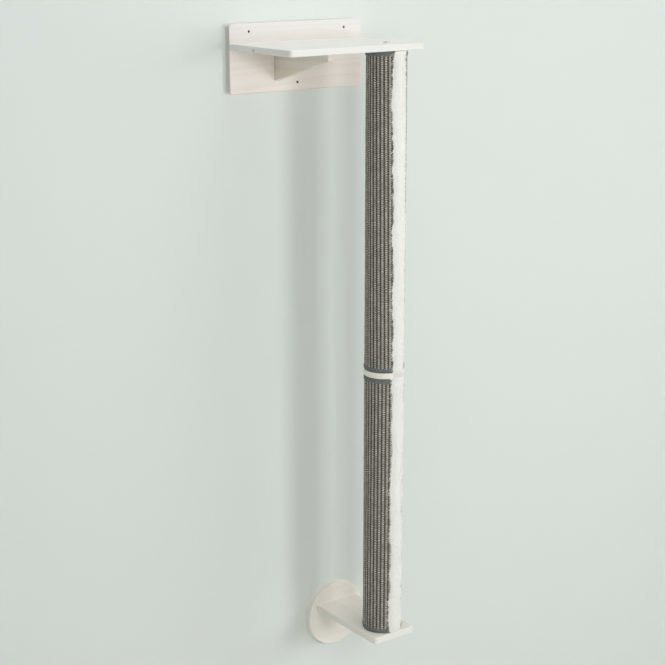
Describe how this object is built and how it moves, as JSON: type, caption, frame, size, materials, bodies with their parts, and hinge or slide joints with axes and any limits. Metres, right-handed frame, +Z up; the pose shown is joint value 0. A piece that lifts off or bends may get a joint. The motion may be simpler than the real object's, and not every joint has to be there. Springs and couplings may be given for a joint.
{
  "type": "wall-mounted cat climbing post",
  "caption": "Cat climbing post for a wall: a braced shelf on a wall plate over a woven-covered post with a plush strip, its foot on an arm from a round wall disc.",
  "frame": {"origin": "centre of the upper wall plate's back face, on the wall", "axes": "+Z up along the post, +Y into the wall, +X to the right for someone who faces the wall"},
  "size_m": [0.41, 0.28, 1.713],
  "materials": {
    "white_wood": "white-washed, fine grain",
    "ring_wood": "cream-washed, open grain",
    "woven_mat": "ribbed woven mat, grey-brown",
    "plush": "long-pile plush, white",
    "binding_tape": "woven tape, slate grey",
    "tube_board": "spiral-wound board",
    "plug_wood": "plain board",
    "dowel_wood": "fluted beech",
    "zinc_steel": "zinc plated"
  },
  "bodies": {
    "root": {"arm_dowels": "dowel_wood", "arm_screws": "zinc_steel", "brace_dowels": "dowel_wood", "brace_screws": "zinc_steel", "foot_bolt": "zinc_steel", "foot_washer": "zinc_steel", "joining_stud": "zinc_steel", "lower_arm": "white_wood", "lower_foot_plug": "plug_wood", "lower_foot_tape": "binding_tape", "lower_head_plug": "plug_wood", "lower_head_tape": "binding_tape", "lower_mat": "woven_mat", "lower_plush_strip": "plush", "lower_tube": "tube_board", "lower_wall_disc": "white_wood", "middle_ring": "ring_wood", "plug_nuts": "zinc_steel", "shelf_brace": "white_wood", "shelf_dowels": "dowel_wood", "shelf_screws": "zinc_steel", "top_bolt": "zinc_steel", "top_shelf": "white_wood", "top_washer": "zinc_steel", "upper_foot_plug": "plug_wood", "upper_foot_tape": "binding_tape", "upper_head_plug": "plug_wood", "upper_head_tape": "binding_tape", "upper_mat": "woven_mat", "upper_plush_strip": "plush", "upper_tube": "tube_board", "upper_wall_plate": "white_wood"}
  },
  "joints": []
}
